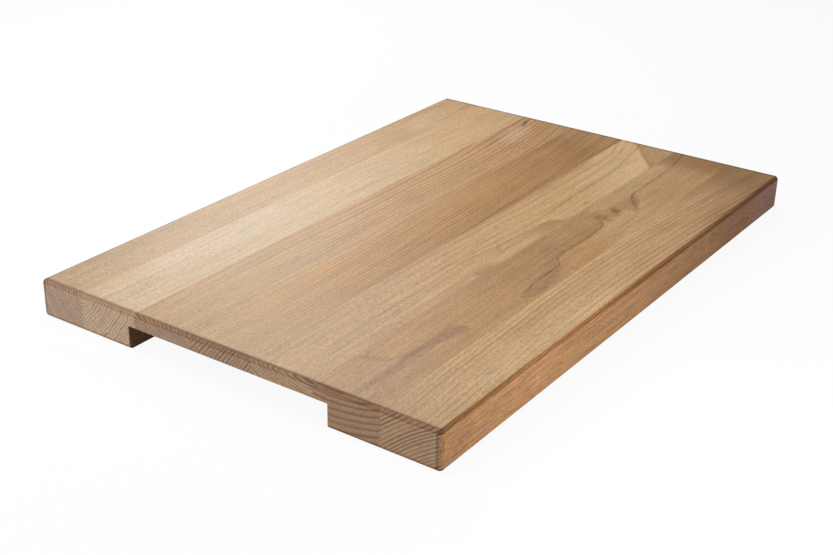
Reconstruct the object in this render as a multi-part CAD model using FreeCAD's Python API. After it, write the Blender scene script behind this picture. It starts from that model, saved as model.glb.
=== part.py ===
"""Wooden cutting board glued up from seven staves, with a shallow channel milled along its underside.

Frame: millimetres, +Z up, origin on the surface that the board stands on, under the middle of the board.
X runs across the staves, Y runs along the grain, and the front end of the board faces -Y.
"""

import FreeCAD, Part
import os

# The board's length and its rounded outside edges
board_length = 600.0
edge_radius = 4.0

# The staves, from left to right: full staves between two edge staves that were sawn to the board's width
stave_names = (
    "left_edge_stave",
    "left_runner_stave",
    "left_bridge_stave",
    "middle_bridge_stave",
    "right_bridge_stave",
    "right_runner_stave",
    "right_edge_stave",
)
left_edge_stave_width = 47.0
full_stave_width = 60.0
right_edge_stave_width = 53.0
full_stave_count = len(stave_names) - 2
bridge_stave_count = full_stave_count - 2
stave_widths = [left_edge_stave_width] + full_stave_count * [full_stave_width] + [right_edge_stave_width]
board_width = sum(stave_widths)

# The channel along the middle of the underside, open at both ends: it takes in the bridge staves
# and reaches into the runner stave on each side, and what is left of those is what the board stands on
channel_reach = 10.0
channel_width = bridge_stave_count * full_stave_width + 2 * channel_reach
channel_height = 21.0
channel_corner_radius = 0.8
channel_arris_radius = 0.6

# The wood that bridges the channel
bridge_thickness = 13.0
board_thickness = channel_height + bridge_thickness

# The glue that fills each joint between two staves
glue_thickness = 0.1

# How far cutting tools and saw planes reach past the board
overrun = 10.0


def rounded_block():
    """The glued panel, planed and sawn to size, with every outside edge rounded over."""
    corner = FreeCAD.Vector(-board_width / 2, -board_length / 2, 0)
    block = Part.makeBox(board_width, board_length, board_thickness, corner)
    return block.makeFillet(edge_radius, block.Edges)


def channel_section():
    """Outline of the channel cutter, in the plane of the board's front end, with rounded upper corners."""
    half_width = channel_width / 2
    shoulder = channel_height - channel_corner_radius
    inset = half_width - channel_corner_radius
    # A corner's arc passes through the point that lies on its circle at 45 degrees
    bow = channel_corner_radius * 2 ** -0.5

    def at(x, z):
        return FreeCAD.Vector(x, -board_length / 2 - overrun, z)

    edges = [
        Part.LineSegment(at(-half_width, -overrun), at(-half_width, shoulder)),
        Part.Arc(at(-half_width, shoulder), at(-inset - bow, shoulder + bow), at(-inset, channel_height)),
        Part.LineSegment(at(-inset, channel_height), at(inset, channel_height)),
        Part.Arc(at(inset, channel_height), at(inset + bow, shoulder + bow), at(half_width, shoulder)),
        Part.LineSegment(at(half_width, shoulder), at(half_width, -overrun)),
        Part.LineSegment(at(half_width, -overrun), at(-half_width, -overrun)),
    ]
    return Part.Face(Part.Wire([edge.toShape() for edge in edges]))


def channel_cutter():
    """The space that the milling cutter sweeps from end to end."""
    return channel_section().extrude(FreeCAD.Vector(0, board_length + 2 * overrun, 0))


def is_channel_arris(edge):
    """Whether an edge of the milled board is one of the sharp edges that the channel leaves."""
    half_width = channel_width / 2
    reach = channel_corner_radius / 2
    box = edge.BoundBox
    beside_channel = max(abs(box.XMin), abs(box.XMax)) < half_width + reach
    below_ceiling = box.ZMax < channel_height + reach
    inside_corner = box.YLength > board_length / 2 and box.ZMin > channel_height / 2
    return beside_channel and below_ceiling and not inside_corner


def milled_board():
    """The rounded block with its channel, and the channel's sharp edges eased."""
    board = rounded_block().cut(channel_cutter())
    arrises = [edge for edge in board.Edges if is_channel_arris(edge)]
    return board.makeFillet(channel_arris_radius, arrises)


def joint_places():
    """X of the middle of each glue line, from left to right."""
    return [sum(stave_widths[:count]) - board_width / 2 for count in range(1, len(stave_widths))]


def slab(x_low, x_high):
    """Everything between two saw planes across the board."""
    corner = FreeCAD.Vector(x_low, -board_length / 2 - overrun, -overrun)
    return Part.makeBox(x_high - x_low, board_length + 2 * overrun, board_thickness + 2 * overrun, corner)


def stave_shapes(board):
    """Each stave by name, cut from the board between the faces of the glue lines beside it."""
    joints = joint_places()
    lows = [-board_width / 2 - overrun] + [joint + glue_thickness / 2 for joint in joints]
    highs = [joint - glue_thickness / 2 for joint in joints] + [board_width / 2 + overrun]
    return {name: board.common(slab(low, high)) for name, low, high in zip(stave_names, lows, highs)}


def glue_shapes(board):
    """Each film of glue by name, flush with the board's surface all round."""
    shapes = {}
    for number, joint in enumerate(joint_places(), start=1):
        film = slab(joint - glue_thickness / 2, joint + glue_thickness / 2)
        shapes[f"glue_line_{number}"] = board.common(film)
    return shapes


def main():
    board = milled_board()
    pieces = {**stave_shapes(board), **glue_shapes(board)}
    os.makedirs("parts", exist_ok=True)
    for name, shape in pieces.items():
        shape.exportStep(os.path.join("parts", name + ".step"))
        print(f"{name}: {len(shape.Solids)} solid, {shape.Volume:.0f} mm3, valid {shape.isValid()}")
    total = sum(shape.Volume for shape in pieces.values())
    print(f"board {board_width:g} x {board_length:g} x {board_thickness:g} mm")
    print(f"pieces {total:.0f} mm3, whole board {board.Volume:.0f} mm3")


main()
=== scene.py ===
# %% [markdown]
# # A wooden cutting board on two runners
#
# The real board is glued up from seven staves of beech and milled along its underside, so that it
# stands on a runner at each side. This lesson dresses its packed solids for a studio picture. Lengths
# are in metres, except inside the wood's recipe, where millimetres read better. +Z is up, and the front
# end of the board faces -Y.

# %% Load the frame
import math

import bmesh
import bpy
from mathutils import Color, Matrix, Vector


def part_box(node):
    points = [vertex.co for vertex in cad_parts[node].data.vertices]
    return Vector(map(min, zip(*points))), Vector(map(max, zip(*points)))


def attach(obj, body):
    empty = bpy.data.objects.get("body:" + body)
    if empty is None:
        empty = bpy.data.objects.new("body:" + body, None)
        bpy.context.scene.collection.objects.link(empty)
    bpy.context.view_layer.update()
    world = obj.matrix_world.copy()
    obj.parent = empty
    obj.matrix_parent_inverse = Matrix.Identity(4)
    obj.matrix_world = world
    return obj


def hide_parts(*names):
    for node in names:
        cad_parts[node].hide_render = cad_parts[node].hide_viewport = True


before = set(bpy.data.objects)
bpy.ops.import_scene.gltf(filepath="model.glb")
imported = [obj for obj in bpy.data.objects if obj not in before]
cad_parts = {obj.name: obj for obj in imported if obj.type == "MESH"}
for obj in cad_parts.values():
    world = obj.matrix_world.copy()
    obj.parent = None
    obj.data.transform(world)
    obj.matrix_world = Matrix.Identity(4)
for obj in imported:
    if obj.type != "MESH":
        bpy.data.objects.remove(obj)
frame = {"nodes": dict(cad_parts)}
scene = bpy.context.scene
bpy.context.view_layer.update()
print("nodes:", ", ".join(frame["nodes"]))

# %% [markdown]
# ## Sizes
#
# The packed solids are right about size, so the new meshes take their lengths from them: the board's
# from the boxes of all its pieces, and the channel's from the staves that it is milled into. A box says
# nothing about rounds, so the three radii are written here as the part has them.

# %% Sizes from the frame
mm = 0.001
edge_radius = 4.0 * mm
corner_radius = 0.8 * mm
arris_radius = 0.6 * mm

boxes = [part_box(node) for node in frame["nodes"]]
width, length, thickness = (
    max(high[axis] for low, high in boxes) - min(low[axis] for low, high in boxes) for axis in range(3)
)
channel_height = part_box("left_bridge_stave")[0].z
runner = frame["nodes"]["left_runner_stave"].data.vertices
channel_half = -max(vertex.co.x for vertex in runner if vertex.co.z < channel_height / 2)
print("board", [round(side / mm, 1) for side in (width, length, thickness)], "mm")
print("channel", round(2 * channel_half / mm, 1), "x", round(channel_height / mm, 1), "mm")

# %% [markdown]
# ## The picture: camera, floor and light
#
# The camera comes first, because every later choice is judged through it. Its place and lens were found
# by laying the board's straight edges over the photograph, so they are the photograph's own viewing
# angle. A track quaternion aims it, and a small roll about its own axis levels the horizon as in the
# photograph.

# %% Camera
camera_place = Vector((0.6465, -0.9842, 0.5420))
aim_point = Vector((0.0260, -0.0817, 0.0170))
camera_roll = math.radians(1.13)
lens_mm = 60.8
sensor_mm = 36.0

camera = bpy.data.objects.new("camera", bpy.data.cameras.new("camera"))
scene.collection.objects.link(camera)
camera.data.sensor_fit = "HORIZONTAL"
camera.data.sensor_width = sensor_mm
camera.data.lens = lens_mm
aim = (aim_point - camera_place).to_track_quat("-Z", "Y").to_matrix().to_4x4()
camera.matrix_world = Matrix.Translation(camera_place) @ aim @ Matrix.Rotation(camera_roll, 4, "Z")
scene.camera = camera
print("camera", round((aim_point - camera_place).length, 3), "m from its aim point")

# %% [markdown]
# ### Node recipes
#
# Every finish below is a small tree of shader nodes. Adding and linking nodes takes many lines, so a
# helper class gives each kind of step one short method. A method takes plain values or the outputs of
# earlier steps and returns its own output, so a recipe reads like a sum.

# %% The plain steps of a recipe
mix_first, mix_second, mix_result = 6, 7, 2


class Recipe:
    """A material's nodes, with one short method for each kind of step."""

    def __init__(self, name):
        self.material = bpy.data.materials.new(name)
        self.material.use_nodes = True
        self.tree = self.material.node_tree
        self.tree.nodes.clear()

    def add(self, kind, **settings):
        node = self.tree.nodes.new(kind)
        for key, value in settings.items():
            setattr(node, key, value)
        return node

    def feed(self, socket, value):
        """Links a socket to what feeds it, or sets its plain value."""
        if isinstance(value, bpy.types.NodeSocket):
            self.tree.links.new(value, socket)
        elif value is not None:
            socket.default_value = value

    def math(self, operation, first, second=None, third=None):
        node = self.add("ShaderNodeMath", operation=operation)
        for socket, value in zip(node.inputs, (first, second, third)):
            self.feed(socket, value)
        return node.outputs[0]

    def plus(self, first, second):
        return self.math("ADD", first, second)

    def minus(self, first, second):
        return self.math("SUBTRACT", first, second)

    def times(self, first, second):
        return self.math("MULTIPLY", first, second)

    def larger(self, first, second):
        return self.math("MAXIMUM", first, second)

    def mix(self, factor, first, second, blend="MIX"):
        """Mixes two colours. A Mix node has sockets for every type, so those for colours go by number."""
        node = self.add("ShaderNodeMix", data_type="RGBA", blend_type=blend)
        self.feed(node.inputs[0], factor)
        self.feed(node.inputs[mix_first], first)
        self.feed(node.inputs[mix_second], second)
        return node.outputs[mix_result]

    def show(self, shader):
        """Ends the recipe: the shader becomes what the surface shows."""
        out = self.add("ShaderNodeOutputMaterial")
        self.feed(out.inputs["Surface"], shader.outputs[0])
        return self.material


print("plain steps:", ", ".join(step for step in vars(Recipe) if not step.startswith("_")))

# %% [markdown]
# ### Paper floor
#
# The photograph has a pure white ground. A studio gets it with a wide sheet of paper that sweeps up
# into a wall, so that no horizon shows. A curved profile could be spun round for it; here a disc's rim
# is pulled up and its corner rounded, which are the two moves that bend a real sheet.

# %% Paper sweep
floor_reach = 15.0
floor_sides = 64
wall_height = 2.5
sweep_radius = 1.2
sweep_segments = 8
round_profile = 0.5


def bevel(shape, edges, radius, segments):
    """Rounds some edges of a mesh."""
    bmesh.ops.bevel(
        shape, geom=edges, offset=radius, offset_type="OFFSET", affect="EDGES",
        segments=segments, profile=round_profile, material=-1,
    )


def only_vertices(geometry):
    return [item for item in geometry if isinstance(item, bmesh.types.BMVert)]


def paper_sweep():
    shape = bmesh.new()
    bmesh.ops.create_circle(shape, cap_ends=True, segments=floor_sides, radius=floor_reach)
    rim = shape.edges[:]
    pulled = bmesh.ops.extrude_edge_only(shape, edges=rim)["geom"]
    bmesh.ops.translate(shape, vec=(0, 0, wall_height), verts=only_vertices(pulled))
    bevel(shape, rim, sweep_radius, sweep_segments)
    mesh = bpy.data.meshes.new("floor")
    shape.to_mesh(mesh)
    shape.free()
    return mesh


floor = bpy.data.objects.new("floor", paper_sweep())
scene.collection.objects.link(floor)
print("floor:", len(floor.data.polygons), "faces")

# %% [markdown]
# The paper is lit more than the object, so it looks white. More light would also bleach the board, so
# most of what the paper shows to the camera, or in a reflection, is plain white, and the rest is an
# ordinary matt surface that still takes the board's soft shadow. What it throws back onto the board is
# kept low, because a real studio is darker around the board. The world is a weak even light that keeps
# the shadows open.

# %% Paper finish and world
pure_white = (1, 1, 1, 1)
floor_white_share = 0.93
paper_white = (0.9, 0.9, 0.9, 1)
paper_bounce = (0.15, 0.15, 0.15, 1)
sky_strength = 0.07


def looked_at(r):
    """1 for the rays that show the background: camera, mirror and glass rays."""
    path = r.add("ShaderNodeLightPath")
    total = path.outputs["Is Camera Ray"]
    for ray in ("Is Glossy Ray", "Is Transmission Ray"):
        total = r.larger(total, path.outputs[ray])
    return total


def floor_paper():
    r = Recipe("floor_paper")
    looks = looked_at(r)
    matt = r.add("ShaderNodeBsdfDiffuse")
    r.feed(matt.inputs["Color"], r.mix(looks, paper_bounce, paper_white))
    white = r.add("ShaderNodeEmission")
    white.inputs["Color"].default_value = pure_white
    blend = r.add("ShaderNodeMixShader")
    parts = (r.times(looks, floor_white_share), matt.outputs[0], white.outputs[0])
    for socket, part in zip(blend.inputs, parts):
        r.feed(socket, part)
    return r.show(blend)


floor.data.materials.append(floor_paper())
world = bpy.data.worlds.new("studio")
world.use_nodes = True
sky = world.node_tree.nodes["Background"]
sky.inputs["Color"].default_value = pure_white
sky.inputs["Strength"].default_value = sky_strength
scene.world = world
scene.view_settings.view_transform = "Standard"
print("paper", floor.data.materials[0].name, "and world", world.name)

# %% [markdown]
# ### Softboxes
#
# Five softboxes light the board. The key stands at the left, so the near left part is brightest, and
# one overhead fills the top. One behind the board at the left is mirrored by the oiled top towards the
# camera, and lays a soft sheen over the near part. A low one in front lights the end grain. A small one
# beside the front right corner makes the long side bright at the front and lets it fall off towards the
# back. The two low ones stay out of reflections, because seen from behind the top would mirror them as
# glare.

# %% Studio lamps


def softbox(name, place, target, size, power, mirrored=True):
    """A rectangular lamp that points at a target. mirrored says whether glossy surfaces show it."""
    lamp = bpy.data.lights.new(name, "AREA")
    lamp.shape = "RECTANGLE"
    lamp.size, lamp.size_y = size
    lamp.energy = power
    holder = bpy.data.objects.new(name, lamp)
    scene.collection.objects.link(holder)
    holder.location = place
    holder.visible_glossy = mirrored
    holder.rotation_mode = "QUATERNION"
    holder.rotation_quaternion = (Vector(target) - Vector(place)).to_track_quat("-Z", "Y")


softbox("key_softbox", place=(-1.0, -0.7, 1.1), target=(-0.08, -0.15, 0.034), size=(0.7, 0.7), power=10.7)
softbox("top_softbox", place=(-0.2, -0.1, 1.2), target=(-0.08, -0.05, 0.034), size=(0.7, 0.7), power=6.6)
softbox("sheen_softbox", place=(-0.84, 0.7, 0.68), target=(-0.1, -0.15, 0.034), size=(0.45, 0.4), power=4.4)
softbox(
    "front_softbox", place=(-0.35, -1.6, 0.3), target=(0, -0.3, 0.017), size=(0.6, 0.3), power=10.4,
    mirrored=False)
softbox(
    "side_softbox", place=(0.62, -0.21, 0.13), target=(0.2, -0.18, 0.017), size=(0.25, 0.2), power=1.66,
    mirrored=False)

# %% [markdown]
# ## The wood
#
# A picture of wood wrapped round the board would never make its ends, top and sides agree with each
# other. So one recipe grows the wood as a tree does: every point knows where it lies in the board, and
# takes its colour from how old the tree was there. It serves all the staves, and each gives it sizes of
# its own.

# %% Steps that know their place in the wood
noise_shift = (7.31, 3.17, 5.53)


class WoodRecipe(Recipe):
    """A recipe on the piece's Object coordinates. Lengths in it are in millimetres."""

    def __init__(self, name):
        super().__init__(name)
        place = self.add("ShaderNodeTexCoord")
        self.normal = place.outputs["Normal"]
        self.place = self.vector("SCALE", place.outputs["Object"], scale=1 / mm)
        self.x, self.y, self.z = self.split(self.place)

    def vector(self, operation, first, second=None, scale=None):
        node = self.add("ShaderNodeVectorMath", operation=operation)
        self.feed(node.inputs[0], first)
        self.feed(node.inputs[1], second)
        if scale is not None:
            self.feed(node.inputs["Scale"], scale)
        return node.outputs["Value"] if operation == "LENGTH" else node.outputs["Vector"]

    def split(self, vector):
        node = self.add("ShaderNodeSeparateXYZ")
        self.feed(node.inputs[0], vector)
        return node.outputs

    def join(self, x, y, z):
        node = self.add("ShaderNodeCombineXYZ")
        for socket, value in zip(node.inputs, (x, y, z)):
            self.feed(socket, value)
        return node.outputs[0]

    def noise(self, size, seed, at=None, detail=2.0, roughness=0.5, output="Fac"):
        """Noise whose features measure about size, in millimetres along the three axes."""
        spot = self.vector("MULTIPLY", at or self.place, tuple(1 / side for side in size))
        spot = self.vector("ADD", spot, tuple(seed * part for part in noise_shift))
        node = self.add("ShaderNodeTexNoise")
        self.feed(node.inputs["Vector"], spot)
        node.inputs["Scale"].default_value = 1
        node.inputs["Detail"].default_value = detail
        node.inputs["Roughness"].default_value = roughness
        return node.outputs[output]

    def step(self, value, low, high, out_low=0.0, out_high=1.0):
        """A soft step from out_low to out_high as value goes from low to high."""
        node = self.add("ShaderNodeMapRange", interpolation_type="SMOOTHSTEP")
        for socket, amount in zip(node.inputs, (value, low, high, out_low, out_high)):
            self.feed(socket, amount)
        return node.outputs[0]

    def fall(self, value, low, high):
        """A soft step from 1 down to 0 as value goes from low to high."""
        return self.step(value, low, high, 1.0, 0.0)

    def apart(self, first, second):
        """How far two values lie apart."""
        return self.math("ABSOLUTE", self.minus(first, second))

    def curve(self, value, points):
        """A smooth curve through given points, each a place in rising order and the amount there."""
        if not points:
            return 0.0
        start, stop = points[0][0], points[-1][0]
        amounts = [amount for place, amount in points]
        least = min(amounts)
        reach = max(amounts) - least or 1.0
        node = self.add("ShaderNodeFloatCurve")
        line = node.mapping.curves[0]
        for place, amount in points[1:-1]:
            line.points.new((place - start) / (stop - start), (amount - least) / reach)
        line.points[0].location = (0, (amounts[0] - least) / reach)
        line.points[-1].location = (1, (amounts[-1] - least) / reach)
        node.mapping.update()
        share = self.math("DIVIDE", self.minus(value, start), stop - start)
        self.feed(node.inputs["Value"], share)
        return self.math("MULTIPLY_ADD", node.outputs[0], reach, least)

    def stain(self, mark, amount, tint):
        """Mixes a tint into the wood's colour where a mark is."""
        self.colour = self.mix(self.times(mark, amount), self.colour, tint)

    def darken(self, mark, tint):
        """Multiplies the wood's colour by a tint where a mark is."""
        self.colour = self.mix(mark, self.colour, tint, blend="MULTIPLY")


print("steps in the wood:", ", ".join(step for step in vars(WoodRecipe) if not step.startswith("_")))

# %% Colours as they look on a screen
screen_white = 255


def tone(red, green, blue):
    """A colour as it looks on a screen, 0 to 255, turned into the linear colour that nodes work with."""
    picked = Color((red / screen_white, green / screen_white, blue / screen_white))
    return (*picked.from_srgb_to_scene_linear(), 1)


print("a wood tone in linear light:", [round(part, 3) for part in tone(194, 160, 118)])

# %% [markdown]
# ### Growth rings
#
# A tree lays down pale wood in spring and darker wood towards autumn, and stops at a sharp line. Rings
# could be painted as stripes on each face, but then they would not meet at the edges. Here they are
# cylinders about the tree's pith, which runs nearly along the stave. Sway and lift bend the pith, and
# that is what makes the lines on the top bow and arch.

# %% Rings
wander_size = (70, 260, 70)
wave_size = (9, 300, 9)
drift_rings = 5.0
drift_shift = 3.7
year_shift = 10.0
middle_grey = 0.5


def centred(r, value, amount):
    """A noise value from 0 to 1 as a change of at most half of amount, up or down."""
    return r.times(r.minus(value, middle_grey), amount)


def growth_rings(r, seed, pith, ring, sway, lift, wander, wave, uneven):
    """The point's age in years from the pith, that year's strength, and the point as the tree saw it."""
    stray = r.noise(wander_size, seed, detail=1.0, output="Color")
    stray = r.split(r.vector("SUBTRACT", stray, (middle_grey, middle_grey, middle_grey)))
    across = r.math("MULTIPLY_ADD", stray[0], wander, r.minus(r.x, r.curve(r.y, sway)))
    height = r.math("MULTIPLY_ADD", stray[2], wander, r.minus(r.z, r.curve(r.y, lift)))
    if wave:
        height = r.plus(height, centred(r, r.noise(wave_size, seed + 6, detail=1.0), wave))
    grain = r.join(across, r.y, height)
    from_pith = r.join(r.minus(across, pith[0]), 0.0, r.minus(height, pith[1]))
    radius = r.vector("LENGTH", from_pith)
    drift = r.add("ShaderNodeTexNoise", noise_dimensions="1D")
    r.feed(drift.inputs["W"], r.math("MULTIPLY_ADD", radius, 1 / (drift_rings * ring), seed * drift_shift))
    drift.inputs["Scale"].default_value = 1
    late_by = r.times(drift.outputs[0], drift_rings * uneven)
    age = r.plus(r.math("DIVIDE", radius, ring), late_by)
    year = r.add("ShaderNodeTexWhiteNoise", noise_dimensions="1D")
    r.feed(year.inputs["W"], r.plus(r.math("FLOOR", age), seed * year_shift))
    x, y, z = r.split(from_pith)
    around = r.times(r.math("ARCTAN2", x, r.times(z, -1.0)), radius)
    tree = r.join(around, r.y, radius)
    return age, year.outputs[0], grain, tree


print("rings wander over about", wander_size[1], "mm of a stave's length")

# %% [markdown]
# Through a year the wood darkens slowly and then jumps back to pale. Where a ring runs nearly flat
# under the top it shows as a broad dark tongue with one sharp side; where it stands upright it shows as
# a thin line. End grain shows more of each ring than a long face does, so it gets a broader band.

# %% How dark a ring is
year_ends = (0.92, 1.0)
late_line = (0.6, 0.92)
end_band = (0.4, 0.86)
late_power = 1.7
least_year, year_range = 0.4, 0.6
half_length = length / 2 / mm


def year_line(r, share, start, full):
    """Darkens from start to full in the course of a year, and is pale again where the next begins."""
    return r.times(r.step(share, start, full), r.fall(share, *year_ends))


def ring_shade(r, age, strength, figure, end_years):
    """How dark the rings are on the long faces and on end grain, and the thin late line of each year."""
    share = r.math("FRACT", age)
    line = year_line(r, share, *late_line)
    late = r.times(r.math("POWER", share, late_power), r.fall(share, *year_ends))
    year = r.math("MULTIPLY_ADD", strength, year_range, least_year)
    plain = r.times(r.plus(late, line), year)
    front, back = figure
    long_face = r.times(plain, r.curve(r.y, [(-half_length, front / 2), (half_length, back / 2)]))
    end_share = r.math("FRACT", r.times(age, end_years))
    end_face = r.times(year_line(r, end_share, *end_band), year)
    return long_face, end_face, line


print("a year's late line runs from", late_line[0], "to", late_line[1], "of its ring")

# %% [markdown]
# ### Faces, oil and painted shade
#
# End grain drinks more oil, so the ends are darker and greyer. The rounds of the board, the corners of the
# ends and the channel get painted shade. A point's normal tells where it lies: its part along Y is 1 on an
# end, 0 on the top, and in between on a round. Painting the faces as separate materials would leave hard
# borders, so soft steps of the normal are used.

# %% Ends and sides
end_turn = (0.2, 0.6)


def end_faces(r, along, up):
    """How far a point shows end grain, and how far it lies on an end at all."""
    # A rounded edge along an end counts as end wood from its start, an upright edge only at its end
    level = r.step(up, 0.02, 0.1)
    end_round = r.times(r.step(along, *end_turn), level)
    end_grain = r.larger(end_round, r.step(along, 0.75, 0.98))
    leaning = r.times(r.step(along, 0.03, 0.35), level)
    return end_grain, r.larger(leaning, r.step(along, 0.88, 0.985))


def side_faces(r, across, up):
    """How far a point lies on a long side, on the round above it and on the round below it."""
    corner_side = r.times(r.step(across, 0.3, 0.6), r.fall(up, 0.02, 0.1))
    side = r.larger(r.step(across, 0.75, 0.97), corner_side)
    turning = r.times(r.step(across, 0.02, 0.2), r.fall(across, 0.8, 0.99))
    # How much painted shade the rounds along the sides take, changing along the board
    upper_share = r.step(r.y, 20, 200, 1.0, 0.65)
    upper = r.times(r.times(turning, r.step(up, 0.1, 0.4)), upper_share)
    lower = r.times(r.step(across, 0.5, 0.85), r.step(up, 0.05, 0.25))
    return side, upper, r.times(lower, r.step(r.y, -250, 200))


end_degrees = [round(math.degrees(math.asin(turn))) for turn in end_turn]
print("end wood sets in between", end_degrees, "degrees of a round")

# %% Painted shade on the edges, the corners and the channel
shade_reach_front = 2
shade_reach_back = 4
corner_line = (1.8, 0.2)
channel_skin = (0.1, 0.5)


def painted_edge_shade(r, along, up):
    """Painted shade on the rounds of the ends, and a little way in on the top."""
    end_line = (length / 2 - edge_radius) / mm
    # A band of painted shade along each end of the top, weaker towards the right on the front one
    front_share = r.step(r.x, 80, 130, 0.75, 0.3)
    front = r.step(r.y, -end_line, shade_reach_front - end_line, front_share, 0.0)
    back = r.step(r.y, end_line - shade_reach_back, end_line, 0.0, 0.75)
    shaded_band = r.times(r.larger(front, back), r.step(up, 0.5, 0.9))
    # Painted shade on the rounds of the ends, weaker at the left
    oiled = r.larger(r.step(up, 0.65, 0.95), r.step(up, 0.05, 0.35, 0.0, 0.5))
    rounded = r.times(r.step(along, 0.02, 0.1), oiled)
    rounded = r.times(rounded, r.step(r.x, -170, 60, 0.7, 1.0))
    end_round = r.times(r.step(along, 0.02, 0.15), r.step(up, 0.03, 0.3))
    return r.larger(shaded_band, rounded), end_round


def painted_corner_shade(r, across, along):
    """Painted shade: the dark line down the upright corners of the ends."""
    side_line = (width / 2 - edge_radius) / mm
    rim = r.step(r.math("ABSOLUTE", r.x), side_line - corner_line[0], side_line - corner_line[1])
    rim = r.times(rim, r.fall(across, 0.15, 0.45))
    return r.times(rim, r.step(along, 0.5, 0.8))


def in_channel(r):
    """The ceiling and the walls of the channel, with a thin skin of the wood behind them, where painted
    shade darkens the wood.
    """
    near_skin, far_skin = channel_skin
    reach, roof = channel_half / mm, channel_height / mm
    beside = r.fall(r.math("ABSOLUTE", r.x), reach + near_skin, reach + far_skin)
    return r.times(beside, r.fall(r.z, roof + near_skin, roof + far_skin))


class Faces:
    """How far a point lies on each kind of face, from 0 to 1."""

    def __init__(self, r):
        across, along, up = r.split(r.vector("ABSOLUTE", r.normal))
        self.end_grain, self.end = end_faces(r, along, up)
        self.side, self.long_edge, self.low_edge = side_faces(r, across, up)
        # Painted shade on the rounds of the ends and down their upright corners
        self.end_edge, self.end_round = painted_edge_shade(r, along, up)
        self.corner = painted_corner_shade(r, across, along)
        self.channel = in_channel(r)


# How far the painted shade reaches in from the rounds of the ends
print("oil reaches", shade_reach_front, "mm in from the front round and", shade_reach_back, "from the back one")

# %% [markdown]
# ### Fibres, rays and tints
#
# Long fibres streak every face along the grain, and beech has fine short flecks and darker rays. They
# only make the wood lighter or darker, so they are added up to one factor. Each noise is stretched
# along the grain, and the rays about the pith, so on the end they point at the tree's middle.

# %% Lighter and darker wood
fibre_size, fibre_amount, side_fibre = (1.1, 45, 1.1), 0.7, 1.0
fibre_detail, fibre_roughness = 4.0, 0.65
streak_size, streak_amount = (3.5, 200, 3.5), 0.4
fleck_size, fleck_amount = (0.8, 3.2, 0.8), 1.1
cloud_size, cloud_amount = (45, 150, 45), 0.25
blotch_size, blotch_amount = (7, 38, 7), 0.22
ray_size, ray_amount = (0.45, 2.6, 9), -0.1
ray_limits = (0.62, 0.76)
corner_shade_amount = -0.42


def wood_shade(r, seed, grain, tree, front, back):
    """One factor for all that makes the wood lighter or darker, with painted shade down the corners of the
    ends and towards the front end, and the fibres, for the bump.
    """
    fibre = r.noise(fibre_size, seed + 1, at=grain, detail=fibre_detail, roughness=fibre_roughness)
    streak = r.noise(streak_size, seed + 2, at=grain)
    fleck = r.noise(fleck_size, seed + 3, at=grain)
    cloud = r.noise(cloud_size, seed + 4, detail=4.0)
    ray = r.step(r.noise(ray_size, seed + 5, at=tree, detail=1.0), *ray_limits)
    blotch = r.noise(blotch_size, seed + 7, at=grain, detail=3.0)
    fibres = centred(r, fibre, r.math("MULTIPLY_ADD", r.face.side, side_fibre, fibre_amount))
    shade = r.plus(1.0, fibres)
    textures = (
        (blotch, blotch_amount), (streak, streak_amount), (fleck, fleck_amount), (cloud, cloud_amount),
    )
    for texture, amount in textures:
        shade = r.plus(shade, centred(r, texture, amount))
    shade = r.math("MULTIPLY_ADD", ray, ray_amount, shade)
    # Painted shade down the upright corners of the ends
    shade = r.math("MULTIPLY_ADD", r.face.corner, corner_shade_amount, shade)
    # Painted shade: a negative front darkens the stave towards its front end, where less light falls; a
    # positive back makes the wood paler towards its back end
    change = r.curve(r.y, [(-half_length, front), (0, 0), (half_length, back)])
    shade = r.math("MULTIPLY_ADD", change, r.minus(1.0, r.face.end), shade)
    return shade, fibre


print("fibres", fibre_size, "mm, flecks", fleck_size, "mm")

# %% [markdown]
# The oil tints the sides amber. The rounds and the channel get painted shade, a darker brown tint. A tint
# multiplies the colour, so the grain stays clear under it. The oiled surface has a soft gloss, a little
# rougher along the fibres and on the sides and ends, and a shallow bump from the fibres and the late lines.

# %% Tints and the oiled surface
side_amber = tone(250, 232, 224)
# Painted shade: darker brown tints for the rounds and the edges of the ends
round_painted_shade = tone(203, 174, 150)
low_edge_painted_shade = tone(206, 184, 160)
end_edge_painted_shade = tone(191, 184, 178)
# Painted shade: the channel's walls and ceiling are darkened as if little light reached into it
channel_painted_shade = tone(226, 206, 196)
end_round_shade_share = 0.5
bump_strength = 0.25
bump_depth = 0.05 * mm
top_roughness = 0.4
fibre_roughening = 0.12
side_roughening = 0.25
oil_gloss = 0.35


def tints_and_painted_shade(r):
    """Multiplies the colour by the amber tint of the sides, and by painted shade on the rounds, the edges
    of the ends and the channel.
    """
    tints = (
        (r.face.side, side_amber),
        # Painted shade on the rounds, along the ends and in the channel
        (r.face.long_edge, round_painted_shade),
        (r.face.low_edge, low_edge_painted_shade),
        (r.face.end_edge, end_edge_painted_shade),
        (r.times(r.face.end_round, end_round_shade_share), round_painted_shade),
        (r.face.channel, channel_painted_shade),
    )
    for amount, tint in tints:
        r.darken(amount, tint)


def oiled_surface(r, fibre, line):
    """The shader of oiled wood."""
    bump = r.add("ShaderNodeBump")
    bump.inputs["Strength"].default_value = bump_strength
    bump.inputs["Distance"].default_value = bump_depth
    r.feed(bump.inputs["Height"], r.minus(fibre, line))
    rough = r.math("MULTIPLY_ADD", fibre, fibre_roughening, top_roughness)
    rough = r.math("MULTIPLY_ADD", r.larger(r.face.side, r.face.end), side_roughening, rough)
    surface = r.add("ShaderNodeBsdfPrincipled")
    r.feed(surface.inputs["Base Color"], r.colour)
    r.feed(surface.inputs["Normal"], bump.outputs[0])
    r.feed(surface.inputs["Roughness"], rough)
    surface.inputs["Specular IOR Level"].default_value = oil_gloss
    return surface


print("gloss", oil_gloss, "at a roughness of about", top_roughness + fibre_roughening / 2)

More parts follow.
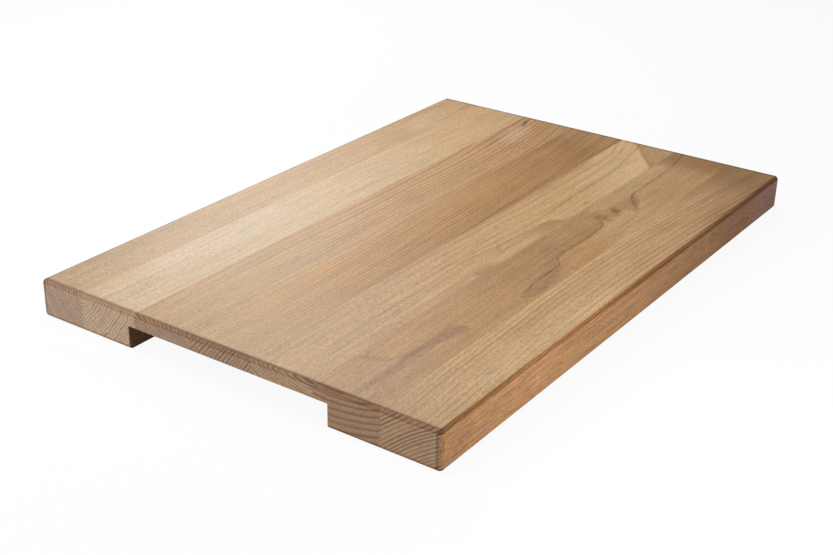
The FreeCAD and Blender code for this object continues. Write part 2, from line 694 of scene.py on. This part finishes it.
# %% [markdown]
# ### A stave
#
# A stave's finish puts the steps together: rings first, then the stave's own marks, then the oiled end
# grain, the fibres with painted shade at the corners of the ends and towards the front, and last the amber
# of the sides with painted shade on the rounds and in the channel.

# %% The stave recipe
deep_line = tone(72, 49, 33)
end_oil = 0.2


def stave_wood(name, seed, light, dark, pith, ring, figure, front, marks, end_tone, back=0.0,
               end_depth=0.6, end_years=1.0, sway=(), lift=(), wander=8.0, wave=0.0, uneven=0.2):
    """Oiled beech. pith is where the rings are centred, as X and Z, and ring is their spacing. figure is
    how strong the lines are at the front and at the back. front is painted shade that darkens the stave
    towards its front end, where less light falls, and back says how much paler the wood grows towards its
    back end. end_depth is how dark the rings are on the ends, and end_years how many show there for one."""
    r = WoodRecipe(name)
    r.face = Faces(r)
    age, strength, grain, tree = growth_rings(r, seed, pith, ring, sway, lift, wander, wave, uneven)
    long_face, end_face, line = ring_shade(r, age, strength, figure, end_years)
    r.colour = r.mix(long_face, light, dark)
    marks(r)
    end_colour = r.mix(end_face, light, dark)
    end_colour = r.mix(r.times(end_face, end_depth), end_colour, deep_line)
    end_colour = r.mix(end_oil, end_colour, end_tone)
    r.colour = r.mix(r.face.end_grain, r.colour, end_colour)
    # The fibres, with painted shade at the corners of the ends and towards the front end
    shade, fibre = wood_shade(r, seed, grain, tree, front, back)
    r.colour = r.mix(1.0, r.colour, shade, blend="MULTIPLY")
    # The amber of the sides, and painted shade on the rounds and in the channel
    tints_and_painted_shade(r)
    return r.show(oiled_surface(r, fibre, line))


print("end grain takes", end_oil, "of its colour from the oil")

# %% [markdown]
# ### Marks of single staves
#
# The staves of a real board differ, and some carry marks of their own. They could be painted on a
# picture, but a few points are enough: a curve along the stave for a line or a tongue, an oval for a
# knot or a blot, and soft steps for a paler or darker stretch. A stain mixes a colour in and veils the
# year lines, as a real stain does; darkening multiplies and leaves them clear. X and Y are in
# millimetres from the middle of the board.

# %% Shapes of marks
spot_seed, spot_rag, spot_stray = 31, (2, 9, 2), 0.8
spot_rim = (0.5, 1.4)
tongue_seed, tongue_rag, tongue_stray = 32, (3, 12, 3), 6.0
tongue_rim = (-4.0, 1.6)
line_seed, line_rag, line_core = 33, (3, 8, 3), 0.3


def spot_mark(r, x, y, half_x, half_y, slope=0.0):
    """1 inside a small oval on the top, fading out at its rim. slope leans it, as X per Y."""
    along = r.minus(r.y, y)
    across = r.minus(r.math("MULTIPLY_ADD", along, -slope, r.x), x)
    far = r.vector("LENGTH", r.join(r.math("DIVIDE", across, half_x), r.math("DIVIDE", along, half_y), 0.0))
    ragged = r.math("MULTIPLY_ADD", r.noise(spot_rag, spot_seed), spot_stray, far)
    return r.fall(ragged, *spot_rim)


def tongue_mark(r, middle, half):
    """1 inside a long tongue whose middle and half width are curves along the stave."""
    away = r.apart(r.x, r.curve(r.y, middle))
    away = r.plus(away, centred(r, r.noise(tongue_rag, tongue_seed, detail=3.0), tongue_stray))
    return r.fall(r.minus(away, r.curve(r.y, half)), *tongue_rim)


def off_line(r, middle, stray):
    """How far a point lies to the right of a curve along the stave. stray is how far the curve shakes."""
    away = r.minus(r.x, r.curve(r.y, middle))
    return r.plus(away, centred(r, r.noise(line_rag, line_seed, detail=3.0), stray))


def line_mark(r, middle, half, stray):
    """1 on a line that follows a curve along the stave."""
    return r.fall(r.math("ABSOLUTE", off_line(r, middle, stray)), line_core * half, half)


print("shapes of marks: spot, tongue and line, with rims that stray up to", tongue_stray / 2, "mm")

# %% [markdown]
# The two staves at the left are the palest, cooler along the front half and warmer along the back half.
# The third shows the trace of a small knot near the back end, dark in paler wood.

# %% Marks of the three left staves


def towards_front(r, start, full):
    """0 behind start and 1 in front of full, along the stave."""
    return r.fall(r.y, full, start)


def between(r, start, full, fade, stop):
    """1 between full and fade along the stave, and 0 before start and behind stop."""
    return r.times(r.step(r.y, start, full), r.fall(r.y, fade, stop))


def pink_marks(r):
    """Cooler in front, warmer behind, with one pale patch."""
    r.stain(towards_front(r, 80, -150), 0.3, tone(182, 160, 137))
    r.stain(r.step(r.y, 40, 200), 0.3, tone(202, 155, 103))
    r.stain(spot_mark(r, -168, 224, 28, 66), 0.45, tone(224, 188, 148))


def cream_marks(r):
    """Cooler in front, warmer behind, and pinker at the front left."""
    r.stain(towards_front(r, 80, -150), 0.3, tone(192, 175, 152))
    left = r.times(r.fall(r.x, -140, -110), between(r, -250, -210, -90, -40))
    r.stain(left, 0.15, tone(226, 212, 200))
    r.stain(r.step(r.y, 40, 200), 0.3, tone(212, 161, 112))


def knot_marks(r):
    """Cooler in front, with a small knot near the back end."""
    r.stain(towards_front(r, 0, -160), 0.3, tone(178, 155, 112))
    r.stain(between(r, 30, 100, 170, 230), 0.1, tone(228, 186, 134))
    r.stain(spot_mark(r, -73, 242, 20, 50, -0.2), 0.45, tone(218, 186, 152))
    r.stain(spot_mark(r, -82, 278, 4.5, 17, -0.35), 0.7, tone(112, 78, 52))


print("marks of the left staves: pale patch at X -168, knot at X -82, Y 278 mm")

# %% [markdown]
# The middle stave grows redder towards the back end and has one dark fleck there. The golden stave
# beside it has two years with a darker line than the others, a brown arch at its right edge, a brown
# back corner and a pin knot.

# %% Marks of the middle and the golden stave
year_brown = tone(132, 92, 56)


def red_marks(r):
    """Redder towards the back end, with one dark fleck there, paler at the left, darker at the right."""
    back = r.times(r.step(r.y, -60, 290), r.minus(1.0, r.face.end))
    r.darken(back, tone(241, 238, 250))
    r.stain(towards_front(r, -140, -280), 0.3, tone(180, 158, 124))
    left = r.times(r.fall(r.x, -32, -8), between(r, -60, 60, 70, 150))
    r.stain(left, 0.25, tone(214, 174, 124))
    r.stain(spot_mark(r, -17, 218, 16, 50), 0.2, tone(216, 162, 96))
    r.stain(r.step(r.y, 235, 290), 0.25, tone(203, 167, 121))
    r.stain(between(r, 30, 100, 170, 230), 0.11, tone(222, 172, 112))
    right = r.times(r.step(r.x, -2, 26), towards_front(r, 200, 50))
    r.darken(right, tone(245, 245, 246))
    beside_joint = r.times(r.step(r.x, 19, 24), r.step(r.y, -200, -90))
    r.darken(beside_joint, tone(246, 245, 244))
    r.stain(spot_mark(r, 9, 246, 2.0, 5.0), 0.5, tone(112, 72, 46))


def golden_ground(r):
    """Paler wood towards the back end, and darker wood along the left joint."""
    pale = r.times(r.step(r.y, 110, 210), r.step(r.x, 32, 60))
    pale = r.larger(pale, r.step(r.y, 200, 250, 0.0, 0.5))
    r.stain(pale, 0.3, tone(213, 189, 152))
    left = r.times(r.fall(r.x, 28, 46), towards_front(r, 240, 190))
    r.darken(left, tone(242, 240, 237))
    beside_joint = r.times(r.fall(r.x, 28, 32), between(r, -60, 20, 190, 240))
    r.darken(beside_joint, tone(242, 241, 240))


def golden_marks(r):
    """Two strong years, an arch at the right edge, a dark back corner and a pin knot."""
    strong = [(-300, 52), (-130, 53), (-100, 53), (-50, 57), (0, 60), (50, 64.5), (125, 63), (200, 62),
              (240, 57), (290, 50), (300, 48)]
    faint = [(-300, 41), (-150, 42), (-50, 45), (0, 47), (50, 50), (125, 51), (200, 49), (250, 43),
             (300, 35)]
    arch_middle = [(-300, 84), (-20, 84), (10, 81), (50, 80.5), (62, 81.5), (67, 84), (71, 88), (300, 88)]
    arch_half = [(-300, -4), (-92, -4), (-80, 3), (-58, 5), (-46, -4), (-10, -4), (10, 6), (50, 8), (62, 7),
                 (67, 4), (71, -4), (300, -4)]
    golden_ground(r)
    corner = r.step(r.math("MULTIPLY_ADD", r.x, 1.19, r.y), 341, 347)
    r.stain(corner, 0.5, tone(140, 98, 64))
    arch = r.times(tongue_mark(r, arch_middle, arch_half), r.step(r.math("ABSOLUTE", r.y), 0, 45))
    r.stain(arch, 0.45, tone(150, 112, 76))
    back = r.step(r.y, -170, 20)
    for line, amount in ((strong, 0.3), (faint, 0.15)):
        r.stain(r.times(line_mark(r, line, 1.8, 2.0), back), amount, year_brown)
    r.stain(spot_mark(r, 80, 120, 1.8, 3.0), 0.6, tone(112, 76, 48))


print("marks of the golden stave: pin knot at X 80, Y 120 mm")

# %% [markdown]
# The border between heartwood and sapwood runs through the sixth stave. It starts as a thin dark line
# in the front half, zigzags once behind the middle, and has stained wood at its left, paler wood at its
# right and blots in the zigzag. One long curve gives the line, and the wood beside it is found by its
# distance from that curve.

# %% The heartwood border
heart_border = [
    (-300, 136), (-95, 135), (-82, 133.5), (-50, 130), (-22, 129.5), (-10, 125), (0, 120), (50, 121),
    (75, 119.5), (84, 117), (91, 110), (97, 104.5), (103, 110), (112, 117), (117, 112), (122, 105),
    (127, 111), (134, 125), (141, 121), (151, 113), (160, 108), (170, 105), (240, 104), (278, 100),
    (300, 96),
]
border_stray = 3.5
gap_seed, gap_size = 34, (8, 22, 8)


def shadow_mark(r, middle, reach, stray):
    """1 just left of a curve along the stave, fading out over a reach, and 0 to the right of it."""
    away = off_line(r, middle, stray)
    return r.times(r.step(away, -reach, -1.0), r.fall(away, -0.5, 1.0))


def heart_stretches(r):
    """Paler stretches: near the back, right of the border, and with faint years along the left joint."""
    lighter = between(r, 140, 205, 235, 270)
    r.stain(lighter, 0.25, tone(208, 174, 134))
    beyond = r.times(r.step(off_line(r, heart_border, border_stray), 0.0, 8.0), r.step(r.y, 30, 90))
    beyond = r.times(beyond, towards_front(r, 190, 140))
    r.stain(beyond, 0.35, tone(211, 179, 138))
    strip_half = [(-300, -4), (70, -4), (110, 6), (150, 10), (245, 8), (268, -4), (300, -4)]
    strip = tongue_mark(r, [(-300, 95), (300, 95)], strip_half)
    r.stain(strip, 0.4, tone(210, 177, 138))
    for x in (91, 95.5, 100):
        faint = line_mark(r, [(-300, x), (150, x), (300, x - 2)], 1.4, 1.5)
        r.stain(r.times(faint, r.step(r.y, 120, 180)), 0.14, year_brown)


def heart_line(r):
    """The border itself, broken here and there, with its stained left side."""
    shadow = r.times(shadow_mark(r, heart_border, 32.0, 6.0), between(r, -80, -10, 50, 120))
    r.stain(shadow, 0.36, tone(146, 110, 80))
    broken = r.step(r.noise(gap_size, gap_seed), 0.3, 0.65, 0.4, 1.0)
    present = r.times(r.step(r.y, -100, -60), broken)
    zone = r.times(line_mark(r, heart_border, 1.8, border_stray), present)
    r.stain(zone, 0.62, tone(106, 74, 50))


border_places = [x for y, x in heart_border]
print("the border runs between X", min(border_places), "and", max(border_places), "mm")

# %% [markdown]
# The same stave has a grey front end with a dark hook as its border, a brown back end, a stained tongue
# near the front, and a stained patch where the border starts.

# %% Ends and stains of the heartwood stave


def heart_ends(r):
    """The grey front end and its hook, a darker stretch at the left, and the brown back end."""
    hook = [(87, -249), (95, -246), (104, -243), (112, -237), (118, -224), (147, -219)]
    past_hook = r.minus(r.y, r.curve(r.x, hook))
    r.stain(r.fall(past_hook, -4, 2), 0.15, tone(172, 146, 126))
    left = r.times(r.fall(r.x, 106, 118), between(r, -150, -70, -10, 40))
    r.darken(left, tone(240, 239, 240))
    on_hook = r.times(r.fall(r.math("ABSOLUTE", past_hook), 1.0, 6.0), r.fall(r.x, 116, 122))
    r.stain(on_hook, 0.28, tone(132, 96, 76))
    r.stain(r.step(r.y, 250, 278), 0.42, tone(132, 92, 60))


def heart_stains(r):
    """The tongue near the front, the patch where the border starts, and the blots in the zigzag."""
    tongue = tongue_mark(
        r,
        [(-300, 122.5), (-240, 121), (-220, 120), (-190, 122.5), (-170, 124.5), (-160, 127), (-154, 128),
         (300, 128)],
        [(-300, 1), (-245, 3.5), (-220, 4), (-190, 6), (-170, 8), (-160, 5.5), (-154, -4), (300, -4)],
    )
    r.stain(tongue, 0.56, tone(134, 98, 76))
    patch = tongue_mark(
        r,
        [(-300, 136.5), (-96, 136.5), (-85, 137.5), (-68, 138.5), (-57, 137), (-45, 136), (-30, 135),
         (-15, 132), (300, 132)],
        [(-300, -4), (-98, -4), (-92, 2), (-85, 5), (-75, 7), (-68, 7), (-57, 7), (-45, 6), (-30, 4),
         (-15, 0), (-5, -4), (300, -4)],
    )
    r.stain(patch, 0.4, tone(138, 102, 74))
    blots = ((111, 97, 12, 10, 0, 0.7), (112, 120, 10, 9, 0, 0.7), (115, 152, 7, 20, -0.45, 0.48))
    for x, y, half_x, half_y, slope, amount in blots:
        r.stain(spot_mark(r, x, y, half_x, half_y, slope), amount, tone(120, 86, 64))


def heart_marks(r):
    """All the marks of the heartwood stave, from the ground up."""
    for layer in (heart_ends, heart_stretches, heart_line, heart_stains):
        layer(r)


print("marks of the heartwood stave: ends, stretches, border and stains")

# %% [markdown]
# The last stave is evenly ribbed. Its top has painted shade at the back end, growing towards the far right
# corner, is darker along the joint and the outside edge there, and paler along the edge in front. Its side
# has painted shade and a redder tint towards the back, and a painted grey reflection at its far end.

# %% Marks of the ribbed stave
skin_of_top = (29, 33)


def ribbed_marks(r):
    """Paler and darker stretches of the top with painted shade at its back end, and painted shade and a
    painted grey reflection on the far part of the side.
    """
    on_top = r.step(r.z, *skin_of_top)
    strip = r.times(r.step(r.x, 170, 187), between(r, -270, -190, -90, 40))
    r.stain(r.times(strip, on_top), 0.32, tone(233, 200, 158))
    # Painted shade: the top darkens towards the far right corner, where less light falls
    back = r.step(r.math("MULTIPLY_ADD", r.x, 0.25, r.y), 225, 310)
    joint = r.times(r.fall(r.x, 150, 164), between(r, 130, 210, 200, 250))
    rim = r.times(r.step(r.x, 170, 188), between(r, 110, 170, 190, 230))
    stripe = r.times(r.fall(r.apart(r.x, 164), 3, 9), between(r, -190, -110, -30, 30))
    darker = (
        (back, tone(212, 201, 196)),
        (joint, tone(234, 230, 228)),
        (rim, tone(232, 226, 221)),
        (stripe, tone(240, 238, 238)),
    )
    for mark, tint in darker:
        r.darken(r.times(mark, on_top), tint)
    below = r.minus(1.0, on_top)
    # Painted shade: the side darkens towards the back, where less light falls, with a slight tint
    far_side_painted_shade = r.times(r.step(r.y, 120, 190), below)
    r.darken(far_side_painted_shade, tone(242, 237, 245))
    # Painted reflection: the far end of the side greys as if it mirrored a pale light
    grey_side_painted_reflection = r.times(r.step(r.y, 210, 270), below)
    r.stain(grey_side_painted_reflection, 0.5, tone(216, 186, 178))


print("marks of the ribbed stave: its top is taken to be the wood above Z", skin_of_top[0], "mm")

# %% [markdown]
# ### Seven staves
#
# Each stave came from another place in a log. Its pith, ring spacing and sway were set until the arcs
# on its end and the lines on its top ran as in the photograph, and its pale and dark tones until it sat
# right beside its neighbours.

# %% Left half of the board
woods = {
    "left_edge_stave": stave_wood(
        "pink_tan_wood", seed=1, light=tone(194, 160, 118), dark=tone(157, 118, 80), pith=(-86, 80),
        ring=2.7, figure=(0.25, 0.8), front=-0.12, marks=pink_marks, end_tone=tone(204, 187, 200),
        end_depth=1.0),
    "left_runner_stave": stave_wood(
        "cream_wood", seed=2, light=tone(204, 172, 130), dark=tone(172, 132, 90), pith=(-200, 73),
        ring=2.4, figure=(0.25, 0.25), front=-0.04, marks=cream_marks, end_tone=tone(222, 204, 203),
        wave=7.0),
    "left_bridge_stave": stave_wood(
        "tan_wood", seed=3, light=tone(194, 152, 105), dark=tone(150, 106, 63), pith=(-130, -100),
        ring=2.4, figure=(0.45, 1.95), front=-0.14, back=0.05, marks=knot_marks,
        end_tone=tone(175, 180, 191), end_depth=1.0,
        sway=[(-300, 0), (100, 0), (170, -1), (215, -3), (250, -6), (290, -11), (300, -13)]),
    "middle_bridge_stave": stave_wood(
        "red_brown_wood", seed=4, light=tone(190, 146, 92), dark=tone(141, 95, 52), pith=(-318, 273),
        ring=3.0, figure=(0.72, 1.95), front=-0.04, marks=red_marks, end_tone=tone(168, 172, 190),
        end_depth=0.7,
        sway=[(-300, 6), (-100, 6), (0, 4), (100, 0), (200, -7), (300, -17)]),
}
print("woods:", ", ".join(woods))

# %% Right half of the board
woods["right_bridge_stave"] = stave_wood(
    "golden_wood", seed=5, light=tone(202, 163, 117), dark=tone(154, 112, 69), pith=(88, 104.6), ring=4.9,
    figure=(0.3, 0.85), front=-0.22, back=0.26, marks=golden_marks, end_tone=tone(181, 174, 176),
    end_depth=1.0, end_years=2.0, uneven=0.5, wander=1.6,
    lift=[(-300, -3.5), (-260, -4.2), (-200, -5.2), (-165, -5.4), (-125, -5.5), (-60, -5.8), (-48, -5.2),
          (-25, -4), (0, -3.1), (20, -2.6), (50, -1.8), (64, -1.3), (70, -0.2), (78, 0), (232, 0),
          (241, -0.25), (252, -1.2), (262, -3), (272, -5.6), (290, -9), (300, -10)])
woods["right_runner_stave"] = stave_wood(
    "heart_wood", seed=6, light=tone(186, 145, 99), dark=tone(153, 111, 69), pith=(101, 154), ring=5.0,
    figure=(0.15, 0.25), front=-0.14, back=0.05, marks=heart_marks, end_tone=tone(134, 128, 146),
    end_depth=0.35)
woods["right_edge_stave"] = stave_wood(
    "ribbed_wood", seed=7, light=tone(203, 165, 121), dark=tone(157, 116, 75), pith=(300, -165), ring=2.8,
    figure=(0.75, 0.95), front=-0.21, marks=ribbed_marks, end_tone=tone(134, 120, 135), end_depth=0.5,
    wander=3.0, sway=[(-300, 8), (-200, 3), (-100, 0), (0, 0), (80, 3), (160, 9), (240, 17), (300, 25)])
longest = max(len(wood.node_tree.nodes) for wood in woods.values())
print("woods:", len(woods), "with up to", longest, "nodes each")

# %% [markdown]
# ### Dried glue
#
# The films of glue between the staves are a tenth of a millimetre thick and show as hairlines on the
# top and the ends. They have soaked up the colour of the wood, so a mix of two wood tones with a fine
# grain is enough.

# %% Glue lines
glue_dark = tone(140, 104, 70)
glue_light = tone(180, 146, 108)
glue_grain_size, glue_seed = (1.5, 6, 1.5), 11
glue_roughness = 0.5


def dried_glue():
    r = WoodRecipe("dried_glue")
    grain = r.noise(glue_grain_size, glue_seed, detail=3.0)
    surface = r.add("ShaderNodeBsdfPrincipled")
    r.feed(surface.inputs["Base Color"], r.mix(grain, glue_dark, glue_light))
    surface.inputs["Roughness"].default_value = glue_roughness
    return r.show(surface)


glue = dried_glue()
print("glue:", glue.name)

# %% [markdown]
# ## The board
#
# The maker glues the panel first, then rounds its edges and mills the channel, so the rounds and the
# channel run unbroken across the joints. Seven separate boxes with rounds of their own would show
# notches there. So the mesh follows the maker's order: one board, cut afterwards at the joints.

# %% Edges of the board
closeness = 0.01 * mm
sharp_angle = math.radians(60)


def near(a, b):
    return abs(a - b) < closeness


def along_board(edge):
    """Whether an edge runs along the board from end to end."""
    return abs(edge.verts[0].co.y - edge.verts[1].co.y) > length / 2


def on_outside(edge):
    """Whether an edge lies along an outside corner of the board's box."""
    sides = 0
    for axis, low, high in ((0, -width / 2, width / 2), (1, -length / 2, length / 2), (2, 0, thickness)):
        sides += any(all(near(vertex.co[axis], wall) for vertex in edge.verts) for wall in (low, high))
    return sides == 2


def in_corner(edge):
    """Whether an edge is one of the two inside corners under the channel's ceiling."""
    on_line = all(near(abs(v.co.x), channel_half) and near(v.co.z, channel_height) for v in edge.verts)
    return on_line and along_board(edge)


def on_channel(edge):
    """Whether an edge is one of the sharp ones that the milled channel leaves."""
    reach, roof = channel_half + corner_radius / 2, channel_height + corner_radius / 2
    inside = all(abs(vertex.co.x) < reach and vertex.co.z < roof for vertex in edge.verts)
    corner = along_board(edge) and edge.verts[0].co.z > channel_height / 2
    return inside and not corner and edge.calc_face_angle(0) > sharp_angle


print("an edge counts as sharp from", round(math.degrees(sharp_angle)), "degrees")

# %% One whole board
edge_segments = 12
corner_segments = 4
arris_segments = 4
cubic_cm = 0.01 ** 3


def whole_board():
    """The end's outline, pulled along the board, with its corners, edges and arrises rounded."""
    half, front = width / 2, -length / 2
    outline = [
        (-half, 0), (-channel_half, 0), (-channel_half, channel_height), (channel_half, channel_height),
        (channel_half, 0), (half, 0), (half, thickness), (-half, thickness),
    ]
    shape = bmesh.new()
    end = shape.faces.new([shape.verts.new((x, front, z)) for x, z in outline])
    pulled = bmesh.ops.extrude_face_region(shape, geom=[end])["geom"]
    bmesh.ops.translate(shape, vec=(0, length, 0), verts=only_vertices(pulled))
    bmesh.ops.recalc_face_normals(shape, faces=shape.faces)
    bevel(shape, [edge for edge in shape.edges if in_corner(edge)], corner_radius, corner_segments)
    bevel(shape, [edge for edge in shape.edges if on_outside(edge)], edge_radius, edge_segments)
    bevel(shape, [edge for edge in shape.edges if on_channel(edge)], arris_radius, arris_segments)
    return shape


board = whole_board()
print("whole board:", len(board.faces), "faces, volume", round(board.calc_volume() / cubic_cm), "cm3")

# %% [markdown]
# ### Staves and glue lines
#
# A saw cut at each joint parts the board into the seven staves and the films of glue between them. Two
# flat cuts and a fill make each piece a closed solid of its own, in its place, so the pieces meet
# without a gap. Only the rounds are shaded smooth; a smooth flat face would look dented beside a round.

# %% Cut the board at its joints
flat_normal = 0.9999


def shade_rounds(shape):
    """Smooth shading on the rounds only, so that every flat face stays flat right up to its edges."""
    shape.normal_update()
    for face in shape.faces:
        face.smooth = max(abs(part) for part in face.normal) < flat_normal
        if not face.smooth:
            for edge in face.edges:
                edge.smooth = False


def slice_of_board(low, high):
    """The board between two places across it, closed at its cuts."""
    shape = board.copy()
    for place, drops_left in ((low, True), (high, False)):
        if near(abs(place), width / 2):
            continue
        everything = shape.verts[:] + shape.edges[:] + shape.faces[:]
        cut = bmesh.ops.bisect_plane(
            shape, geom=everything, plane_co=(place, 0, 0), plane_no=(1, 0, 0),
            clear_inner=drops_left, clear_outer=not drops_left,
        )
        rim = [item for item in cut["geom_cut"] if isinstance(item, bmesh.types.BMEdge)]
        bmesh.ops.edgeloop_fill(shape, edges=rim)
    bmesh.ops.recalc_face_normals(shape, faces=shape.faces)
    shade_rounds(shape)
    return shape


def cut_piece(node, finish):
    """The slice of the board between the two sides of a node's box, in the node's stead."""
    low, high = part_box(node)
    shape = slice_of_board(low.x, high.x)
    mesh = bpy.data.meshes.new(node + "_look")
    open_edges = sum(not edge.is_manifold for edge in shape.edges)
    volume = shape.calc_volume() / cubic_cm
    shape.to_mesh(mesh)
    shape.free()
    mesh.materials.append(finish)
    piece = bpy.data.objects.new(node + "_look", mesh)
    scene.collection.objects.link(piece)
    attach(piece, "root")
    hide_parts(node)
    print(f"{node}: {len(mesh.polygons)} faces, {volume:.1f} cm3, {open_edges} open edges")
    return piece


for node in frame["nodes"]:
    piece = cut_piece(node, woods.get(node, glue))
board.free()

# %% [markdown]
# ## Size and finish
# The dressed board has to be exactly as large as the packed one.
